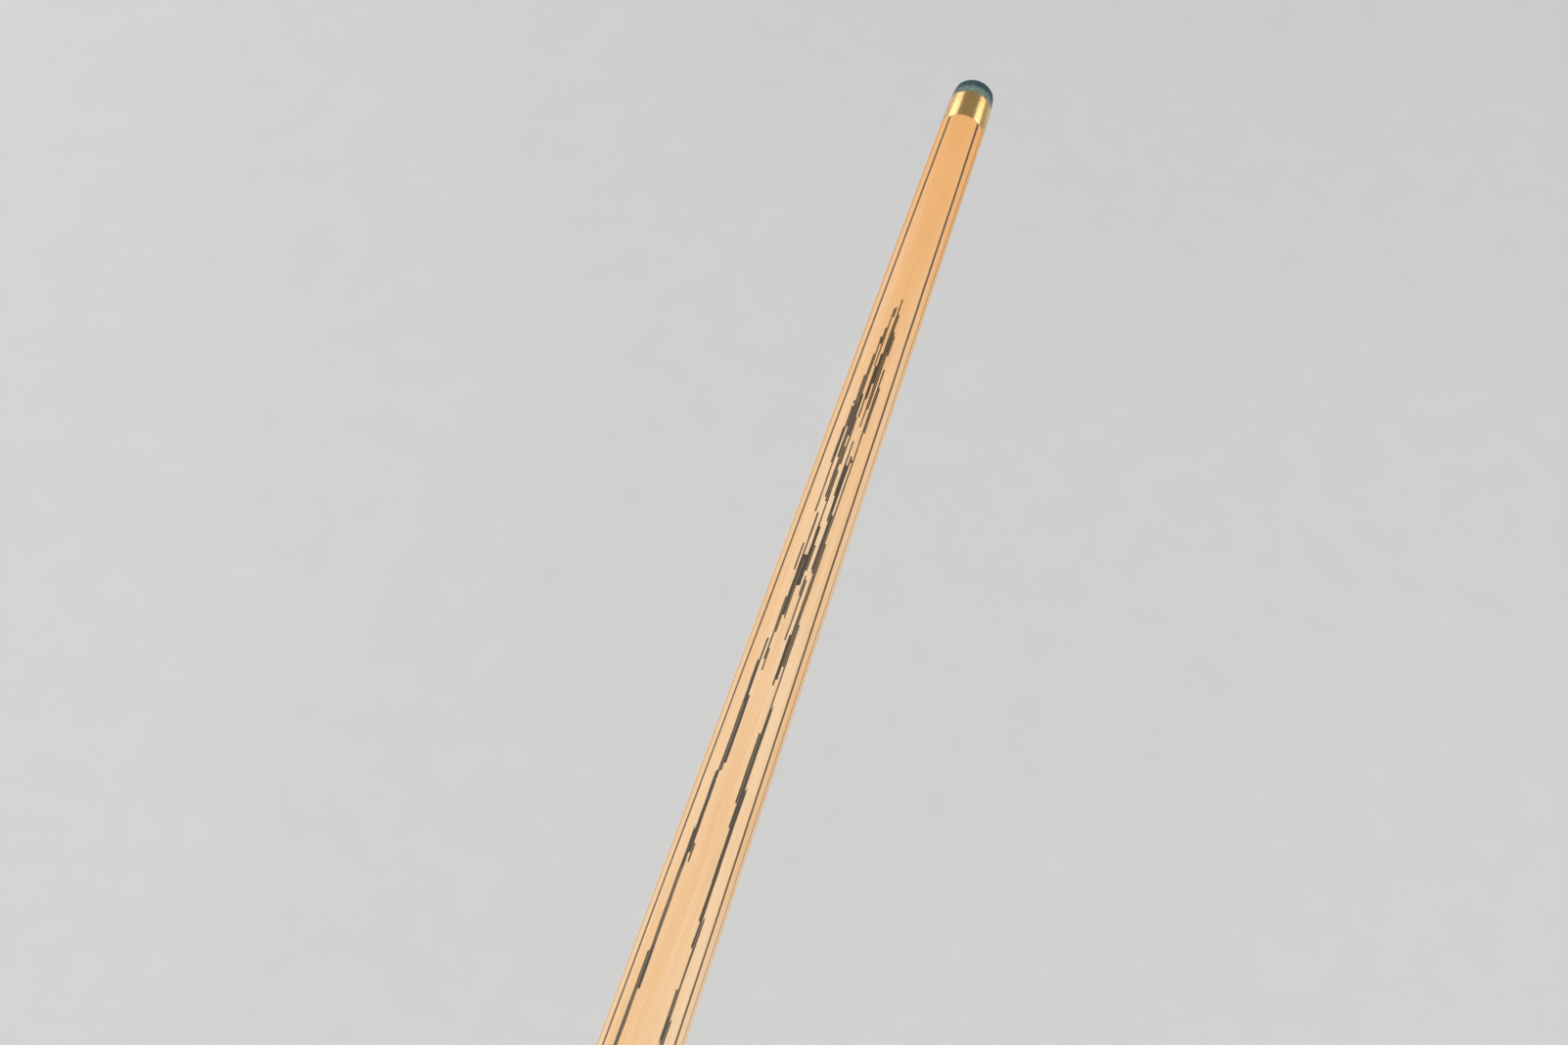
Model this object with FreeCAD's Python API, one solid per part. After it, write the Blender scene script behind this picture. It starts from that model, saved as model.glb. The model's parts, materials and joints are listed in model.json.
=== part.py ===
"""Two-piece pool cue: an ash shaft with a brass ferrule, screwed to a hand-spliced ebony butt.

Millimetres. The cue lies along X: the butt's end face is at X = 0 and the tip points to +X, with Z up.
The origin is the centre of the butt's end face. Each solid goes to parts/NODE.step.
"""

import FreeCAD
import Part

import math
import os

V = FreeCAD.Vector

# ---- overall sizes ----
cue_length = 1448.0  # butt's end face to the top of the tip, 57 inches
butt_length = 406.0  # butt's end face to the joint, 16 inches
butt_end_d = 29.0  # outside diameters
joint_d = 22.5
ferrule_d = 10.0  # where the ferrule meets the wood

# ---- fits ----
glue_gap = 0.05  # radial gap of a glued or pressed fit
running_gap = 0.07  # radial gap of a thread or pilot that turns
face_gap = 0.05  # hairline between the two halves of the closed joint

# ---- leather tip ----
tip_height = 7.4
tip_side_height = 4.7  # height of its side, below the dome
tip_inset = 0.2  # from the ferrule's side in to the tip's
tip_belly = 0.12  # how far the side bulges
tip_lean = 0.25  # how much smaller its radius is at the dome's rim

# ---- ferrule ----
ferrule_length = 9.5
ferrule_taper = 0.1  # how much smaller its top is across
ferrule_wall = 0.75
ferrule_edge = 0.3  # radius of its top edge

# ---- screw joint ----
collar_length = 10.0  # brass collar on each side of the joint
collar_wall = 1.6
collar_disc = 2.0  # thickness of the collar's end wall
pilot_d = 11.6  # plain length of the pin that centres the joint
pilot_length = 6.0
pilot_step = 1.0  # from the pilot's side in to the thread's crests
thread_length = 20.0
thread_pitch = 3.175  # 8 turns to the inch
thread_depth = 0.6
thread_crest = 0.8  # flat length on a ridge
pin_lead_in = 1.4  # chamfer on the pin's end
anchor_length = 34.0  # pin's glued length, inside the butt
anchor_shoulder = 0.2  # from the pilot's side out to the glued length's
insert_length = 34.0  # threaded insert inside the shaft
insert_wall = 1.2  # round the pilot
groove_depth = 0.5  # glue grooves
groove_width = 1.5
groove_step = 7.0

# ---- hand splicing of the butt ----
splice_count = 4
point_setback = 66.0  # from the joint face back to the points' ends
core_wall = 0.65  # ash between the socket's hole and the core's faces, at the butt's end
veneer = 0.6
ebony_floor = 0.9  # ebony under the front splice's veneer, at the butt's end
front_splice_length = 190.0
taper_faces = 12  # faces end to end along the butt's taper, short enough to measure exactly

# ---- flat and badge ----
flat_wall = 0.75  # wood between the flat and the bumper's seat
flat_length = 105.0
badge_margin = 2.0  # from the badge to the flat's edges
badge_thickness = 0.9
badge_proud = 0.15
badge_from_end = 24.0

# ---- butt's end ----
socket_bore_d = 10.0
socket_wall = 1.5
socket_body_length = 33.0
socket_chamfer = 0.7
flange_lip = 1.5  # how far the socket's flange stands out round its body
flange_thickness = 2.0
flange_recess = 0.8  # from the rubber's face in to the flange
bumper_ring = 2.5  # width of rubber seen round the flange
bumper_proud = 2.5  # how far the rubber stands out of the wood
bumper_seat = 4.0  # how deep it sits in the wood
bumper_edge = 0.8
wood_edge = 0.6  # chamfer round the butt's end

# ---- weight bolt ----
weight_step = 0.5  # from the socket's side in to the weight bore's
weight_bore_length = 86.0
weight_length = 45.0
weight_at = 14.0  # from the socket's inner end to the bolt
weight_chamfer = 0.8
hex_across_flats = 6.0
hex_depth = 9.0

# ---- sizes that follow ----
ferrule_top_r = (ferrule_d - ferrule_taper) / 2
tip_base_r = ferrule_top_r - tip_inset
tip_rim_r = tip_base_r - tip_lean
collar_bore_r = joint_d / 2 - collar_wall
thread_r = pilot_d / 2 - pilot_step
anchor_r = pilot_d / 2 + anchor_shoulder
insert_r = pilot_d / 2 + insert_wall
socket_body_r = socket_bore_d / 2 + socket_wall
flange_r = socket_body_r + flange_lip
bumper_r = flange_r + bumper_ring
weight_bore_r = socket_body_r - weight_step
core_end_half = socket_body_r + glue_gap + core_wall  # half width of the square core at the butt's end
front_plane_z = core_end_half + veneer + ebony_floor + veneer  # front splice's glue plane, at the butt's end
flat_z = bumper_r + glue_gap + flat_wall  # flat, at the butt's end

# ---- places along X ----
joint_x = butt_length
shaft_face_x = joint_x + face_gap
ferrule_top_x = cue_length - tip_height
ferrule_root_x = ferrule_top_x - ferrule_length
wood_end_x = bumper_proud
core_start_x = wood_end_x + bumper_seat
point_x = joint_x - point_setback
socket_body_x = flange_recess + flange_thickness
socket_inner_x = socket_body_x + socket_body_length
weight_x = socket_inner_x + weight_at
weight_bore_end_x = socket_inner_x + weight_bore_length
insert_x = shaft_face_x + glue_gap
pin_end_x = joint_x + pilot_length + thread_length
ridge_count = int((thread_length - pin_lead_in) / thread_pitch)


def between(x, x0, r0, x1, r1):
    """The radius at x on the straight taper from (x0, r0) to (x1, r1)."""
    return r0 + (r1 - r0) * (x - x0) / (x1 - x0)


def butt_r(x):
    return between(x, 0.0, butt_end_d / 2, joint_x, joint_d / 2)


def shaft_r(x):
    return between(x, joint_x, joint_d / 2, ferrule_root_x, ferrule_d / 2)


def core_half(x):
    """Half width of the butt's square ash core: its faces rise to meet the outer cone at the points."""
    return between(x, core_start_x, core_end_half, point_x, butt_r(point_x))


class Outline:
    """A closed outline of (x, radius) points in the XZ plane, to turn about X."""

    def __init__(self, x, r):
        self.edges = []
        self.first = self.last = V(x, 0, r)

    def line(self, x, r):
        end = V(x, 0, r)
        self.edges.append(Part.LineSegment(self.last, end).toShape())
        self.last = end
        return self

    def arc(self, middle, end):
        m, e = V(middle[0], 0, middle[1]), V(end[0], 0, end[1])
        self.edges.append(Part.Arc(self.last, m, e).toShape())
        self.last = e
        return self

    def turned(self):
        self.line(self.first.x, self.first.z)
        face = Part.Face(Part.Wire(self.edges))
        return face.revolve(V(0, 0, 0), V(1, 0, 0), 360)


def rod(x0, x1, radius):
    return Part.makeCylinder(radius, x1 - x0, V(x0, 0, 0), V(1, 0, 0))


def grooves(x0, x1, radius):
    """Glue grooves round a rod of this radius, between x0 and x1, as solids to cut away."""
    rings = []
    x = x0 + groove_step / 2
    while x + groove_width < x1 - 1.0:
        ring = rod(x, x + groove_width, radius + 1.0).cut(rod(x, x + groove_width, radius - groove_depth))
        rings.append(ring)
        x += groove_step
    return rings


def cut_all(shape, tools):
    for tool in tools:
        shape = shape.cut(tool)
    return shape


# ---- tip end ----
def make_tip():
    rim_x = ferrule_top_x + tip_side_height
    dome = tip_height - tip_side_height
    dome_r = (dome**2 + tip_rim_r**2) / (2 * dome)
    half = math.asin(tip_rim_r / dome_r) / 2
    dome_mid = (cue_length - dome_r + dome_r * math.cos(half), dome_r * math.sin(half))
    side_mid = (ferrule_top_x + tip_side_height / 2, (tip_base_r + tip_rim_r) / 2 + tip_belly)
    outline = Outline(ferrule_top_x, 0).line(ferrule_top_x, tip_base_r)
    outline.arc(side_mid, (rim_x, tip_rim_r))
    outline.arc(dome_mid, (cue_length, 0))
    return outline.turned()


def make_ferrule():
    top_r = ferrule_top_r
    bore_r = ferrule_top_r - ferrule_wall
    turn = ferrule_edge * (1 - math.sqrt(0.5))
    outline = Outline(ferrule_root_x, bore_r).line(ferrule_root_x, ferrule_d / 2)
    outline.line(ferrule_top_x - ferrule_edge, top_r)
    outline.arc((ferrule_top_x - turn, top_r - turn), (ferrule_top_x, top_r - ferrule_edge))
    outline.line(ferrule_top_x, bore_r)
    return outline.turned()


# ---- shaft ----
def make_shaft_wood():
    tenon_r = ferrule_top_r - ferrule_wall - glue_gap
    spigot_r = collar_bore_r - glue_gap
    spigot_x = shaft_face_x + collar_disc + glue_gap
    shoulder_x = shaft_face_x + collar_length + glue_gap
    outline = Outline(spigot_x, 0).line(spigot_x, spigot_r).line(shoulder_x, spigot_r)
    outline.line(shoulder_x, shaft_r(shoulder_x)).line(ferrule_root_x, shaft_r(ferrule_root_x))
    outline.line(ferrule_root_x, tenon_r).line(ferrule_top_x, tenon_r).line(ferrule_top_x, 0)
    bore = rod(shaft_face_x, insert_x + insert_length + 10 * glue_gap, insert_r + running_gap)
    return outline.turned().cut(bore)


def make_collar(face_x, side, hole_r, radius_at):
    """Brass cup that caps the wood at the joint. Its end wall is at face_x and its skirt runs to side, +1 or -1."""
    end_x = face_x + side * collar_length
    disc_x = face_x + side * collar_disc
    outline = Outline(face_x, hole_r).line(face_x, radius_at(face_x)).line(end_x, radius_at(end_x))
    outline.line(end_x, collar_bore_r).line(disc_x, collar_bore_r).line(disc_x, hole_r)
    return outline.turned()


def make_shaft_insert():
    end_x = insert_x + insert_length
    thread_bore_r = thread_r + running_gap
    pilot_bore_r = pilot_d / 2 + running_gap
    pilot_bore_x = joint_x + pilot_length + running_gap
    outline = Outline(insert_x, pilot_bore_r).line(insert_x, insert_r).line(end_x, insert_r)
    outline.line(end_x, thread_bore_r).line(pilot_bore_x + 1.0, thread_bore_r)
    outline.line(pilot_bore_x, pilot_bore_r)
    return cut_all(outline.turned(), grooves(insert_x + collar_length, end_x, insert_r))


# ---- joint pin ----
def make_joint_pin():
    """Pin fixed in the butt: grooved anchor, plain pilot, then a thread shown as ridges of its real pitch."""
    pilot_x = joint_x - collar_disc
    anchor_x = pilot_x - anchor_length
    root_r = thread_r - thread_depth
    flank = (thread_pitch - thread_crest) / 3
    outline = Outline(anchor_x, 0).line(anchor_x, anchor_r - 1.0).line(anchor_x + 1.0, anchor_r)
    outline.line(pilot_x, anchor_r).line(pilot_x, pilot_d / 2)
    outline.line(joint_x + pilot_length, pilot_d / 2).line(joint_x + pilot_length, root_r)
    x = joint_x + pilot_length + flank
    for _ in range(ridge_count):
        outline.line(x, root_r).line(x + flank, thread_r)
        outline.line(x + flank + thread_crest, thread_r).line(x + 2 * flank + thread_crest, root_r)
        x += thread_pitch
    outline.line(pin_end_x - pin_lead_in, root_r).line(pin_end_x, root_r - pin_lead_in).line(pin_end_x, 0)
    return cut_all(outline.turned(), grooves(anchor_x + 1.0, pilot_x, anchor_r))


# ---- butt ----
def butt_blank():
    """The whole turned butt, wood only, before it is parted into core, veneers and splices."""
    shoulder_x = joint_x - collar_length - glue_gap
    spigot_x = joint_x - collar_disc - glue_gap
    spigot_r = collar_bore_r - glue_gap
    outline = Outline(wood_end_x, 0).line(wood_end_x, butt_r(wood_end_x) - wood_edge)
    taper_start = wood_end_x + wood_edge
    for k in range(taper_faces + 1):
        x = taper_start + (shoulder_x - taper_start) * k / taper_faces
        outline.line(x, butt_r(x))
    outline.line(shoulder_x, spigot_r).line(spigot_x, spigot_r).line(spigot_x, 0)
    return outline.turned()


def butt_bores():
    """What is bored out of the butt: bumper seat, socket, weight bore and the pin's anchor hole."""
    anchor_x = joint_x - collar_disc - anchor_length
    return [
        rod(0, core_start_x, bumper_r + glue_gap),
        rod(0, socket_inner_x + glue_gap, socket_body_r + glue_gap),
        rod(0, weight_bore_end_x, weight_bore_r),
        rod(anchor_x - 1.0, joint_x, anchor_r + glue_gap),
    ]


def square_at(x, half):
    return [V(x, -half, -half), V(x, half, -half), V(x, half, half), V(x, -half, half)]


def core_block(extra):
    """Long square block of the ash core, with extra thickness on each face."""
    low, high = (square_at(x, core_half(x) + extra) for x in (core_start_x, joint_x))
    sides = [[low[k], low[(k + 1) % 4], high[(k + 1) % 4], high[k]] for k in range(4)]
    faces = [Part.Face(Part.makePolygon(c + c[:1])) for c in [low, high] + sides]
    return Part.makeSolid(Part.makeShell(faces))


def top_quarter():
    """The quarter of the space round X that holds the splice facing +Z."""
    far = 2 * butt_end_d
    corners = [V(0, 0, 0), V(0, -far, far), V(0, far, far)]
    return Part.Face(Part.makePolygon(corners + corners[:1])).extrude(V(joint_x, 0, 0))


def at_splice(shape, index):
    """A copy of the top quarter's shape, turned to splice number index."""
    copy = shape.copy()
    copy.rotate(V(0, 0, 0), V(1, 0, 0), index * 360.0 / splice_count)
    return copy


def front_block(drop):
    """The space above the front splice's glue plane, lowered by drop."""
    start = front_plane_z - drop
    end = butt_r(front_splice_length) - drop
    slope = (end - start) / (front_splice_length - wood_end_x)
    top = 2 * butt_end_d
    corners = [
        V(0, -top, start - slope * wood_end_x),
        V(joint_x, -top, start + slope * (joint_x - wood_end_x)),
        V(joint_x, -top, top),
        V(0, -top, top),
    ]
    return Part.Face(Part.makePolygon(corners + corners[:1])).extrude(V(0, 2 * top, 0))


def flat_line():
    """Start point and direction of the flat on the butt's top, in the XZ plane."""
    start = V(wood_end_x, 0, flat_z)
    end = V(flat_length, 0, butt_r(flat_length))
    return start, (end - start).normalize()


def flat_block():
    """What the flat takes off the butt."""
    start, along = flat_line()
    far = 2 * butt_end_d
    low = start - along * far
    high = start + along * (flat_length + far)
    corners = [low, high, high + V(0, 0, far), low + V(0, 0, far)]
    corners = [c - V(0, far, 0) for c in corners]
    return Part.Face(Part.makePolygon(corners + corners[:1])).extrude(V(0, 2 * far, 0))


def badge_disc(gap, below, above):
    """A disc square to the flat, from below its plane to above it, with gap added to the badge's radius."""
    start, along = flat_line()
    normal = V(-along.z, 0, along.x)
    centre = start + along * badge_from_end
    half_flat = math.sqrt(butt_r(centre.x) ** 2 - centre.z**2)
    radius = half_flat - badge_margin + gap
    return Part.makeCylinder(radius, below + above, centre - normal * below, normal)


def make_badge():
    return badge_disc(0.0, badge_thickness - badge_proud, badge_proud)


def make_butt_parts():
    """The spliced wood of the butt, as {node: solid}."""
    bores = butt_bores()
    pocket = badge_disc(glue_gap, badge_thickness - badge_proud + glue_gap, butt_end_d)
    blank = cut_all(butt_blank(), bores)
    core, core_and_veneer = core_block(0.0), core_block(veneer)
    parts = {"butt_core": blank.common(core)}
    quarter = blank.cut(core).common(top_quarter())
    for i in range(splice_count):
        parts[f"veneer_{i + 1}"] = at_splice(quarter.common(core_and_veneer), i)
        parts[f"ebony_splice_{i + 1}"] = at_splice(quarter.cut(core_and_veneer), i)
    trimmed = parts["ebony_splice_1"].cut(flat_block())
    parts["ebony_splice_1"] = trimmed.cut(front_block(veneer))
    parts["front_veneer"] = trimmed.common(front_block(veneer)).cut(front_block(0.0))
    parts["front_splice"] = trimmed.common(front_block(0.0)).cut(pocket)
    return parts


# ---- butt's end ----
def make_bumper():
    flange_bore = flange_r + glue_gap
    body_bore = socket_body_r + glue_gap
    turn = bumper_edge * (1 - math.sqrt(0.5))
    outline = Outline(0, flange_bore).line(0, bumper_r - bumper_edge)
    outline.arc((turn, bumper_r - turn), (bumper_edge, bumper_r)).line(core_start_x, bumper_r)
    outline.line(core_start_x, body_bore).line(socket_body_x, body_bore).line(socket_body_x, flange_bore)
    return outline.turned()


def make_end_socket():
    """Flanged brass socket that clamps the rubber and takes an extension's screw."""
    bore_r = socket_bore_d / 2
    outline = Outline(flange_recess, bore_r + socket_chamfer).line(flange_recess, flange_r)
    outline.line(socket_body_x, flange_r).line(socket_body_x, socket_body_r)
    outline.line(socket_inner_x, socket_body_r).line(socket_inner_x, bore_r)
    outline.line(flange_recess + socket_chamfer, bore_r)
    return cut_all(outline.turned(), grooves(core_start_x, socket_inner_x, socket_body_r))


def make_weight_bolt():
    """Steel grub bolt that screws along its bore, with a hexagon socket towards the butt's end."""
    radius = weight_bore_r - running_gap
    end_x = weight_x + weight_length
    outline = Outline(weight_x, 0).line(weight_x, radius - weight_chamfer)
    outline.line(weight_x + weight_chamfer, radius).line(end_x - weight_chamfer, radius)
    outline.line(end_x, radius - weight_chamfer).line(end_x, 0)
    corner_r = hex_across_flats / math.sqrt(3)
    corners = []
    for k in range(7):
        a = math.radians(60 * k)
        corners.append(V(weight_x, corner_r * math.cos(a), corner_r * math.sin(a)))
    key = Part.Face(Part.makePolygon(corners)).extrude(V(hex_depth, 0, 0))
    return outline.turned().cut(key)


def make_parts():
    parts = {
        "tip": make_tip(),
        "ferrule": make_ferrule(),
        "shaft_wood": make_shaft_wood(),
        "shaft_collar": make_collar(shaft_face_x, 1, insert_r + running_gap, shaft_r),
        "shaft_insert": make_shaft_insert(),
        "joint_pin": make_joint_pin(),
        "butt_collar": make_collar(joint_x, -1, pilot_d / 2 + glue_gap, butt_r),
        "badge": make_badge(),
        "bumper": make_bumper(),
        "end_socket": make_end_socket(),
        "weight_bolt": make_weight_bolt(),
    }
    parts.update(make_butt_parts())
    return parts


def main():
    os.makedirs("parts", exist_ok=True)
    for node, shape in make_parts().items():
        if not shape.isValid() or not shape.Solids:
            raise ValueError(f"{node} is not a valid solid")
        print(f"{node}: {len(shape.Solids)} solid, {shape.Volume:.1f} mm3")
        Part.makeCompound(shape.Solids).exportStep(f"parts/{node}.step")


main()
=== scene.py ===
"""The looks of a two-piece pool cue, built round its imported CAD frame.

Shapes are worked out in millimetres, in the frame's own axes: the cue along X, the butt's end face
at 0, the tip towards +X and Z up. Each piece is scaled to metres as its mesh is made.
"""

import json
import math

import bmesh
import bpy
from mathutils import Matrix, Vector, noise


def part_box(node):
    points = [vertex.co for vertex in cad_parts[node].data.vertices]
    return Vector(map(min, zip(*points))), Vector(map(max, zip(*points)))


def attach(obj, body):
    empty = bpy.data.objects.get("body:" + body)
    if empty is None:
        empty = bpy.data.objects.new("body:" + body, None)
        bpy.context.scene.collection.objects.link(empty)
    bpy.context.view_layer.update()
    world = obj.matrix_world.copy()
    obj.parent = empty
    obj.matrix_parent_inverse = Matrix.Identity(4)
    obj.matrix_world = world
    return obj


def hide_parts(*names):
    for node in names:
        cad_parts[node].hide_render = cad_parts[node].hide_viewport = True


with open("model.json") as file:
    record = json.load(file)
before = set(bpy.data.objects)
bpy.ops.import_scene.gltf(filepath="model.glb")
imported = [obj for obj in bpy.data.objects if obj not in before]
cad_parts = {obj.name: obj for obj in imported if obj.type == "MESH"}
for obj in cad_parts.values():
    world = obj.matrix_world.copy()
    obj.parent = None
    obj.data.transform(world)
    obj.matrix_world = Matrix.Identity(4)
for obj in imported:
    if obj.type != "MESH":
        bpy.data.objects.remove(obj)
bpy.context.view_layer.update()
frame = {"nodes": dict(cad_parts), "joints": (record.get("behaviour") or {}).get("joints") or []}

MM = 0.001
SIDES = 96
CREASE = 30.0  # degrees: a fold of more than this is drawn sharp
GLUE = 0.05  # gap of a glued fit
CLEAR = 0.07  # gap of a screwed fit
OUTSIDE = 99.0  # a height or half width that is beyond any radius of the cue
SPIGOT_R = 9.6  # wood inside a collar
TENON_R = 4.15  # wood inside the ferrule
PILOT_R = 5.8  # the pin's plain part, in front of its thread
ANCHOR_R = 6.0  # the pin inside the butt
FRONT_POINT = 190.0  # where the front splice comes to its point
FLAT_END = 105.0  # where the flat on the butt runs out
BADGE_AT = 24.0  # along the flat, from the wood's end to the badge's centre
FLANGE_X = 2.8  # thickness of the end socket's flange
FLANGE_LIP = 1.5  # how far the flange stands out from the socket's body


# ---- reading the frame ----
def span(node):
    """First and last X of a CAD node."""
    low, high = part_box(node)
    return low.x / MM, high.x / MM


def reach(node):
    """Smallest and largest distance of a CAD node's corners from the cue's axis."""
    spans = [math.hypot(v.co.y, v.co.z) / MM for v in frame["nodes"][node].data.vertices]
    return min(spans), max(spans)


def line(x0, r0, x1, r1):
    """The radius or height, at any x, on the straight line through two points."""
    return lambda x: r0 + (r1 - r0) * (x - x0) / (x1 - x0)


def crossing(f, g):
    """Where two straight lines meet."""
    gap, slope = f(0.0) - g(0.0), (f(1.0) - g(1.0)) - (f(0.0) - g(0.0))
    return -gap / slope


joint_x = frame["joints"][1]["pos_m"][0] / MM
ferrule_x, ferrule_top = span("ferrule")
tip_end = span("tip")[1]
wood_x = span("ebony_splice_1")[0]
core_x = span("butt_core")[0]
point_x = span("veneer_1")[1]
butt_r = line(0.0, 14.5, joint_x, 11.25)
shaft_r = line(joint_x, 11.25, ferrule_x, reach("ferrule")[1])

# wood of the butt: glue planes of the top quarter, as heights above the axis
veneer = 0.6
core_half = line(core_x, 7.2, point_x, butt_r(point_x))
front = line(wood_x, 9.3, FRONT_POINT, butt_r(FRONT_POINT))
flat = line(wood_x, 11.3, FLAT_END, butt_r(FLAT_END))
end_chamfer = 0.6
seat_r = 10.55

# joint pin's thread, which the insert's thread follows
pitch = 3.175
thread_r, thread_root_r = 4.8, 4.2
pilot_end = joint_x + 6.0


# ---- meshes ----
def clean(obj):
    """Welds the mesh, turns its faces outwards and shades it smooth between its sharp edges."""
    bm = bmesh.new()
    bm.from_mesh(obj.data)
    bmesh.ops.remove_doubles(bm, verts=bm.verts, dist=2e-6)
    bmesh.ops.dissolve_degenerate(bm, edges=bm.edges, dist=1e-7)
    bmesh.ops.recalc_face_normals(bm, faces=bm.faces)
    bm.to_mesh(obj.data)
    bm.free()
    obj.data.polygons.foreach_set("use_smooth", [True] * len(obj.data.polygons))
    obj.data.set_sharp_from_angle(angle=math.radians(CREASE))


def loft(name, rings, loop=False):
    """A closed mesh through rings of equal count. A loop joins its last ring to its first."""
    count = len(rings[0])
    faces = []
    for i in range(len(rings) if loop else len(rings) - 1):
        a, b = i * count, (i + 1) % len(rings) * count
        for k in range(count):
            n = (k + 1) % count
            faces.append((a + k, a + n, b + n, b + k))
    if not loop:
        faces.append(tuple(range(count)))
        faces.append(tuple(range((len(rings) - 1) * count, len(rings) * count)))
    mesh = bpy.data.meshes.new(name)
    mesh.from_pydata([Vector(p) * MM for ring in rings for p in ring], [], faces)
    obj = bpy.data.objects.new(name, mesh)
    bpy.context.scene.collection.objects.link(obj)
    clean(obj)
    return obj


def circle(x, radius, sides=SIDES):
    """A ring round the axis. The radius is a number, or a function of the angle from +Y towards +Z."""
    ring = []
    for k in range(sides):
        a = 2 * math.pi * k / sides
        r = radius(a) if callable(radius) else radius
        ring.append((x, r * math.cos(a), r * math.sin(a)))
    return ring


def eased(points, steps=4):
    """An outline with its corners rounded. Each point is (x, radius) or (x, radius, rounding)."""
    out = []
    for k, point in enumerate(points):
        here = Vector(point[:2])
        if len(point) == 2:
            out.append(tuple(here))
            continue
        before = (Vector(points[k - 1][:2]) - here).normalized() * point[2]
        after = (Vector(points[(k + 1) % len(points)][:2]) - here).normalized() * point[2]
        for s in range(steps + 1):
            t = s / steps
            out.append(tuple(here + before * (1 - t) ** 2 + after * t**2))
    return out


def turned(name, outline, loop=False, sides=SIDES):
    return loft(name, [circle(x, r, sides) for x, r in outline], loop)


def taper(x0, x1, radius_at, count):
    """Outline points along a taper, both ends included."""
    return [(x, radius_at(x)) for x in (x0 + (x1 - x0) * k / count for k in range(count + 1))]


def grooves(x0, x1, radius, depth=0.5, width=1.5, step=7.0):
    """Outline points of glue grooves between x0 and x1, as the CAD cuts them."""
    out = []
    x = x0 + step / 2
    while x + width < x1 - 1.0:
        low = radius - depth
        out += [(x, radius), (x + 0.15, low), (x + width - 0.15, low), (x + width, radius)]
        x += step
    return out


def thread(x0, x1, step, root, crest, flat_width, flank, phase=0.0, fade=1.2):
    """Outline points of a right-hand helical thread from x0 to x1, in either direction along X."""
    count = math.ceil(abs(x1 - x0) / (step / 12))
    out = []
    for k in range(count + 1):
        x = x0 + (x1 - x0) * k / count
        full = max(0.0, min(1.0, abs(x - x0) / fade, abs(x1 - x) / fade))

        def radius(a, x=x, full=full):
            turns = (x - joint_x) / step - a / (2 * math.pi) + phase
            away = abs(turns - round(turns)) * step
            ridge = min(1.0, max(0.0, (flat_width / 2 + flank - away) / flank))
            return root + (crest - root) * full * ridge

        out.append((x, radius))
    return out


def carve(obj, cutter):
    """Cuts one mesh out of another and keeps the result."""
    cut = obj.modifiers.new("carve", "BOOLEAN")
    cut.operation = "DIFFERENCE"
    cut.solver = "EXACT"
    cut.object = cutter
    bpy.context.view_layer.update()
    shown = obj.evaluated_get(bpy.context.evaluated_depsgraph_get())
    mesh = bpy.data.meshes.new_from_object(shown)
    obj.modifiers.clear()
    obj.data = mesh
    clean(obj)


# ---- tip and ferrule ----
def make_tip():
    """Leather tip: slightly bellied side, softened rim and a domed, uneven playing face."""
    base_r, rim_r, side, belly = reach("ferrule")[1] - 0.25, 4.5, 4.7, 0.48
    rim_x = ferrule_top + side
    dome = tip_end - rim_x
    dome_r = (dome**2 + rim_r**2) / (2 * dome)
    outline = [(ferrule_top, 0.0), (ferrule_top, base_r * 0.6)]
    for k in range(13):
        t = k / 12
        outline.append((ferrule_top + side * t, base_r + (rim_r - base_r) * t + belly * t * (1 - t)))
    half = math.asin(rim_r / dome_r)
    for k in range(1, 19):
        a = half * (1 - k / 18)
        outline.append((tip_end - dome_r + dome_r * math.cos(a), dome_r * math.sin(a)))
    rough = []
    for x, r in outline:
        low = 0.0 if x < ferrule_top + 0.01 else 0.05

        def radius(a, x=x, r=r, low=low):
            at = Vector((x * 0.9, math.cos(a) * r * 0.9, math.sin(a) * r * 0.9))
            return r - low * (0.5 + 0.5 * noise.noise(at)) * min(1.0, r)

        rough.append((x, radius))
    return turned("tip_fine", rough)


def make_ferrule():
    bore, side = reach("ferrule")
    top = side - 0.05
    outline = [(ferrule_x, bore, 0.1), (ferrule_x, side, 0.06)]
    outline += [(ferrule_top, top, 0.35), (ferrule_top, bore, 0.1)]
    return turned("ferrule_fine", eased(outline, 6), loop=True, sides=128)


# ---- shaft and joint ----
def make_shaft_wood():
    start, end = span("shaft_wood")
    shoulder = span("shaft_collar")[1] + GLUE
    bore_r = reach("shaft_insert")[1] + CLEAR
    bore_end = span("shaft_insert")[1] + 0.5
    outline = [(bore_end, 0.0), (bore_end, bore_r), (start, bore_r)]
    outline += eased([(start, bore_r), (start, SPIGOT_R, 0.3), (shoulder, SPIGOT_R)])[1:]
    outline += taper(shoulder, ferrule_x, shaft_r, 60)
    outline += eased([(ferrule_x, TENON_R), (end, TENON_R, 0.3), (end, 0.0)])
    return turned("shaft_wood_fine", outline, sides=128)


def make_collar(node, face, side, radius_at):
    """Brass cup with eased edges and a fine line turned near its wood side. Its face is at face."""
    hole = reach(node)[0]
    end = face + side * 10.0
    disc = face + side * 2.0
    mark = face + side * 8.2
    inner = SPIGOT_R + GLUE
    outline = [(face, hole, 0.15), (face, radius_at(face), 0.25)]
    for step, depth in ((-0.22, 0.0), (-0.07, 0.14), (0.07, 0.14), (0.22, 0.0)):
        x = mark + side * step
        outline.append((x, radius_at(x) - depth))
    outline += [(end, radius_at(end), 0.05), (end, inner), (disc, inner), (disc, hole)]
    return turned(node + "_fine", eased(outline), loop=True, sides=128)


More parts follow.
